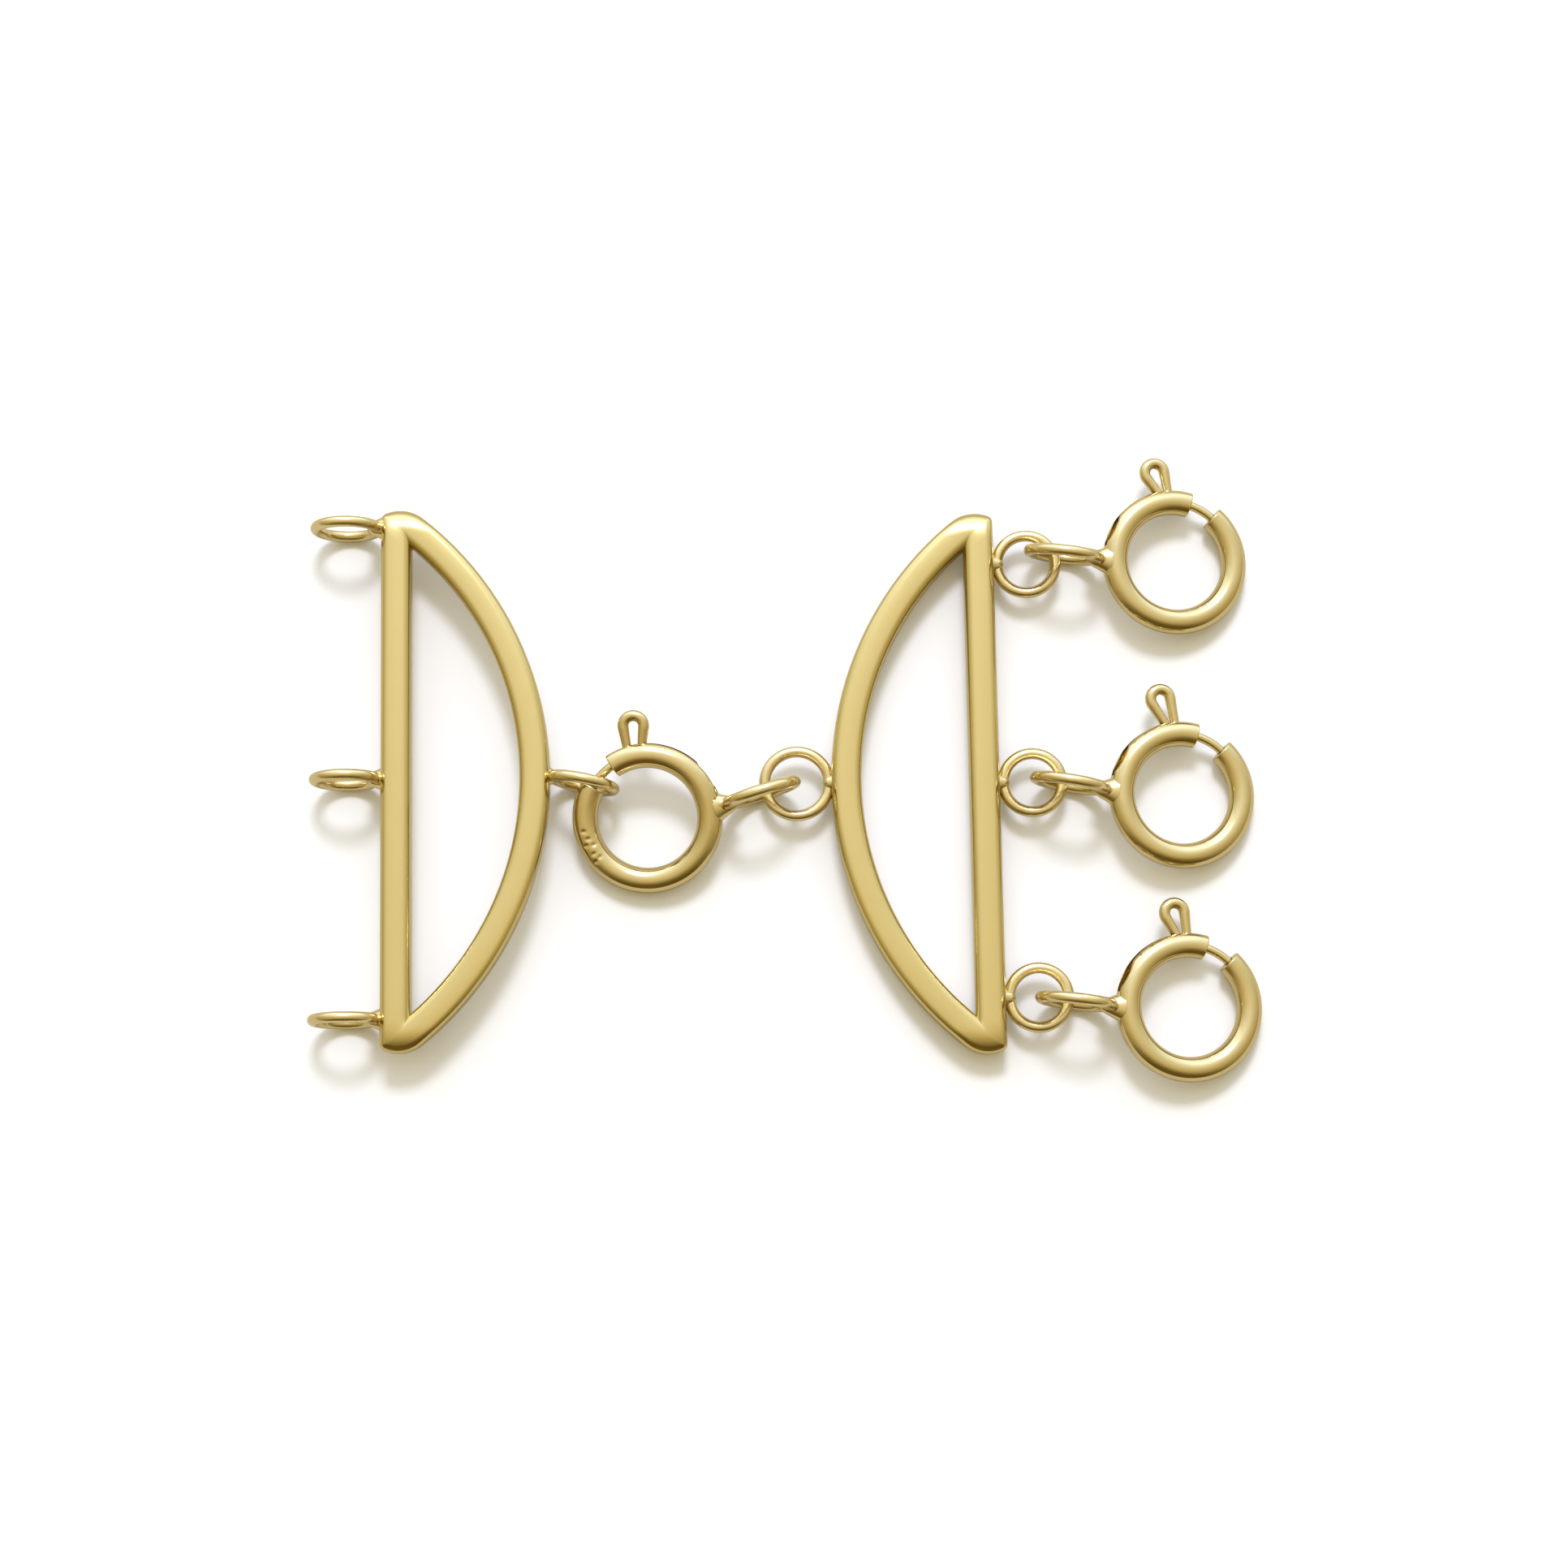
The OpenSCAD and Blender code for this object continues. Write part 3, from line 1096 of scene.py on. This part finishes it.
# Share of that brightness, from low on the left over the top to low on the right
EAST_TONES = ((-1.0, (0.55, 0.51, 0.36)), (-0.87, (0.68, 0.65, 0.48)), (-0.7, (0.81, 0.80, 0.67)),
              (-0.45, (0.92, 0.91, 0.86)), (-0.1, (1.0, 1.0, 1.0)), (0.25, (0.94, 0.93, 0.88)),
              (0.6, (0.81, 0.80, 0.71)), (0.87, (0.68, 0.66, 0.53)), (1.0, (0.56, 0.52, 0.38)))


@dataclass
class Studio:
    """White floor, soft light from above and behind, and the camera at the photograph's angle.

    Sizes and distances are in millimetres, apart from the two in pixels. Angles are in degrees,
    and the light's power is in watts.
    The floor has one colour to the eye and a darker one where gold mirrors it: painted shade that darkens
    the floor's reflections in the gold.
    """

    image_px: int = 1932
    focal_px: int = 4000
    sensor: float = 36.0
    distance: float = 135.6
    tilt: float = 9.6
    view_range: float = 10000.0
    floor_half: float = 700.0
    paper: tuple[float, float, float] = (0.94, 0.94, 0.94)
    # Darker colour that the floor takes only in the gold's reflections: painted shade
    paper_shaded_in_gold: tuple[float, float, float] = (0.66, 0.62, 0.5)
    paper_roughness: float = 0.9
    room_level: float = 1.28
    light_height: float = 51.5
    light_distance: float = 600.0
    light_size: float = 115.0
    light_aspect: float = 1.3
    light_power: float = 1.65
    light_tint: tuple[float, float, float] = (0.98, 1.0, 1.18)

    def build(self) -> None:
        """Makes floor, lights and camera."""
        self._floor()
        self._sky()
        self._light()
        self._camera()

    def _floor(self) -> None:
        """Lays the white floor under the clasp, with painted shade where the gold mirrors it."""
        shape = Shape()
        corners = [Vector((x * self.floor_half, y * self.floor_half, 0.0))
                   for x, y in ((-1, -1), (1, -1), (1, 1), (-1, 1))]
        shape.faces.append(tuple(shape.loop(corners)))
        floor = shape.piece("studio_floor", Matrix.Identity(4))
        paper = bpy.data.materials.new("white_paper")
        paper.use_nodes = True
        shader = paper.node_tree.nodes["Principled BSDF"]
        shader.inputs["Roughness"].default_value = self.paper_roughness
        shader.inputs["Specular IOR Level"].default_value = 0.0
        # The floor turns darker for rays mirrored off the gold: painted shade in the gold's reflections of
        # the floor
        seen = paper.node_tree.nodes.new("ShaderNodeLightPath")
        mix = paper.node_tree.nodes.new("ShaderNodeMix")
        mix.data_type = "RGBA"
        mix.inputs["A"].default_value = (*self.paper, 1.0)
        mix.inputs["B"].default_value = (*self.paper_shaded_in_gold, 1.0)
        paper.node_tree.links.new(seen.outputs["Is Glossy Ray"], mix.inputs["Factor"])
        paper.node_tree.links.new(mix.outputs["Result"], shader.inputs["Base Color"])
        floor.data.materials.append(paper)

    def _sky(self) -> None:
        """Gives the room its brightness: bright behind the clasp and above it, dark in front."""
        world = bpy.data.worlds.new("studio_room")
        world.use_nodes = True
        bpy.context.scene.world = world
        tree = world.node_tree
        place = tree.nodes.new("ShaderNodeTexCoord")
        parts = tree.nodes.new("ShaderNodeSeparateXYZ")
        tree.links.new(place.outputs["Generated"], parts.inputs["Vector"])
        share = tree.nodes.new("ShaderNodeMix")
        share.data_type = "RGBA"
        share.blend_type = "MULTIPLY"
        share.inputs["Factor"].default_value = 1.0
        tree.links.new(self._tones(tree, parts.outputs["Y"], NORTH_TONES), share.inputs["A"])
        tree.links.new(self._tones(tree, parts.outputs["X"], EAST_TONES), share.inputs["B"])
        tree.links.new(share.outputs["Result"], tree.nodes["Background"].inputs["Color"])
        tree.nodes["Background"].inputs["Strength"].default_value = self.room_level

    @staticmethod
    def _tones(tree: bpy.types.NodeTree, along: bpy.types.NodeSocket,
               tones: tuple[tuple[float, tuple[float, float, float]], ...]) -> bpy.types.NodeSocket:
        """Spreads tones along one direction of the room.

        Args:
            tree: The room's nodes.
            along: The direction's share, from -1 to 1.
            tones: Where each tone is, and its colour.

        Returns:
            The colour.
        """
        reach = tree.nodes.new("ShaderNodeMapRange")
        reach.inputs["From Min"].default_value = -1.0
        tree.links.new(along, reach.inputs["Value"])
        ramp = tree.nodes.new("ShaderNodeValToRGB")
        ramp.color_ramp.interpolation = "EASE"
        elements = ramp.color_ramp.elements
        while len(elements) < len(tones):
            elements.new(0.5)
        for element, (share, tone) in zip(elements, tones):
            element.position = (share + 1) / 2
            element.color = (*tone, 1.0)
        tree.links.new(reach.outputs["Result"], ramp.inputs["Fac"])
        return ramp.outputs["Color"]

    def _light(self) -> None:
        """Hangs the large soft light behind the clasp."""
        lamp = bpy.data.lights.new("window_light", "AREA")
        lamp.shape = "RECTANGLE"
        lamp.size = self.light_size * self.light_aspect * MM
        lamp.size_y = self.light_size * MM
        lamp.energy = self.light_power
        lamp.color = self.light_tint
        light = bpy.data.objects.new("window_light", lamp)
        up = math.radians(self.light_height)
        light.location = Vector((0.0, math.cos(up), math.sin(up))) * self.light_distance * MM
        light.rotation_euler = (-light.location).to_track_quat("-Z", "Y").to_euler()
        bpy.context.scene.collection.objects.link(light)

    def _camera(self) -> None:
        """Sets the camera where the photograph was taken from."""
        lens = bpy.data.cameras.new("photo_camera")
        lens.sensor_width = self.sensor
        lens.lens = self.sensor * self.focal_px / self.image_px
        lens.clip_start = MM
        lens.clip_end = self.view_range * MM
        camera = bpy.data.objects.new("photo_camera", lens)
        tilt = math.radians(self.tilt)
        target = LAYOUT_SHIFT * MM
        camera.location = target + Vector((0.0, -math.sin(tilt), math.cos(tilt))) * self.distance * MM
        camera.rotation_euler = (tilt, 0.0, 0.0)
        bpy.context.scene.collection.objects.link(camera)
        bpy.context.scene.camera = camera


def main() -> None:
    """Builds the clasp and the studio, piece by piece."""
    logging.basicConfig(level=logging.INFO, format="%(name)s: %(message)s")
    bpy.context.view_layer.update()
    LeftFrame().build()
    RightFrame().build()
    centre_ring().build()
    resting_ring(
        "top", Body.LATCH_TOP, x=16.38, y=9.28, facing=177.2, gap=(102.5, 127.2),
        trigger=Trigger(75.4, height=1.45, back_slope=26.0),
        end_ring=EndRing(side=-0.17, facing=3.0, lean=-8.0)).build()
    resting_ring(
        "middle", Body.LATCH_MIDDLE, x=16.49, y=-0.61, facing=174.5, gap=(99.0, 126.8),
        trigger=Trigger(72.5, height=1.65, back_slope=22.0),
        end_ring=EndRing(side=-0.2, facing=3.5, lean=-5.0)).build()
    resting_ring(
        "bottom", Body.LATCH_BOTTOM, x=16.61, y=-9.44, facing=176.9, gap=(103.0, 128.8),
        trigger=Trigger(78.8, height=1.48, back_slope=24.0),
        end_ring=EndRing(side=-0.2, facing=3.5, lean=-2.0)).build()
    Studio().build()
    bpy.context.scene.view_settings.view_transform = "Standard"


if __name__ == "__main__":
    main()
